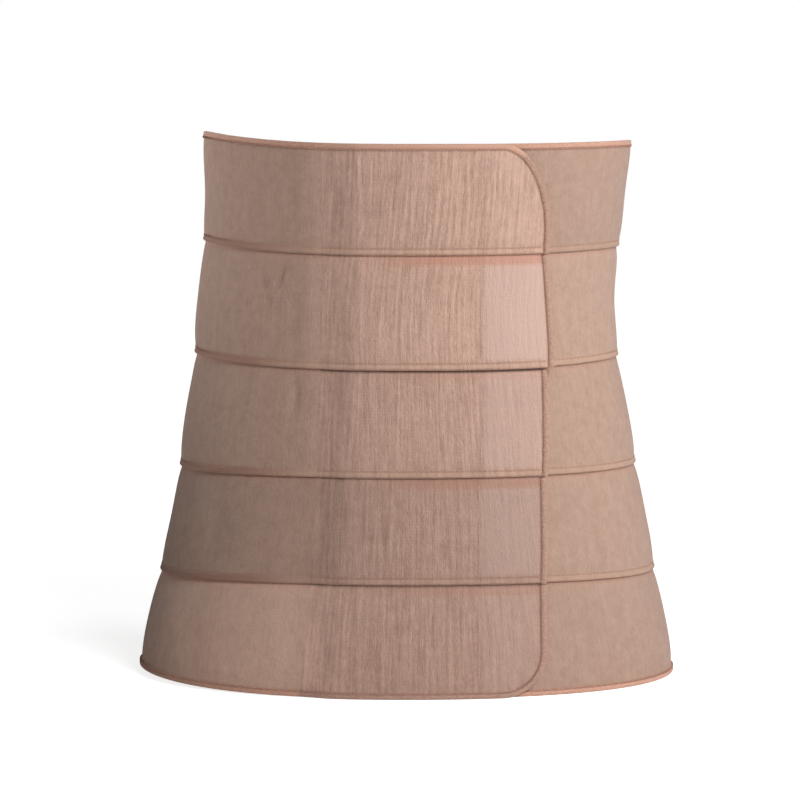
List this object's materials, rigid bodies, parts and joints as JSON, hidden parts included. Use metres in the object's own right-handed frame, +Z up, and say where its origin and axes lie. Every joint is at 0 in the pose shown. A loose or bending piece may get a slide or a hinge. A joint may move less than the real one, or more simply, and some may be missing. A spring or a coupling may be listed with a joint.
{
  "type": "abdominal binder",
  "caption": "Elastic abdominal binder of stacked bands, wrapped and closed at the front with hook tape, a waisted and flared open tube.",
  "frame": {"origin": "centre of the part's box, on the surface that the lower edge stands on", "axes": "+Z up out of the tube; the closed front faces -Y, and its free end lies towards +X"},
  "size_m": [0.3892, 0.282, 0.3905],
  "materials": {
    "band_cloth": "matt woven elastic with a short loop pile",
    "flap_cloth": "matt ribbed woven elastic with a short loop pile",
    "edging": "matt folded tape",
    "hook_tape": "matt hook tape"
  },
  "bodies": {
    "root": {"band_1": "band_cloth", "band_2": "band_cloth", "band_3": "band_cloth", "band_4": "band_cloth", "band_5": "band_cloth", "flap_1": "flap_cloth", "flap_2": "flap_cloth", "flap_3": "flap_cloth", "flap_4": "flap_cloth", "flap_5": "flap_cloth", "flap_edging_1": "edging", "flap_edging_2": "edging", "flap_edging_3": "edging", "flap_edging_4": "edging", "flap_edging_5": "edging", "hook_tape_1": "hook_tape", "hook_tape_2": "hook_tape", "hook_tape_3": "hook_tape", "hook_tape_4": "hook_tape", "hook_tape_5": "hook_tape", "top_binding": "edging", "bottom_binding": "edging"}
  },
  "joints": []
}
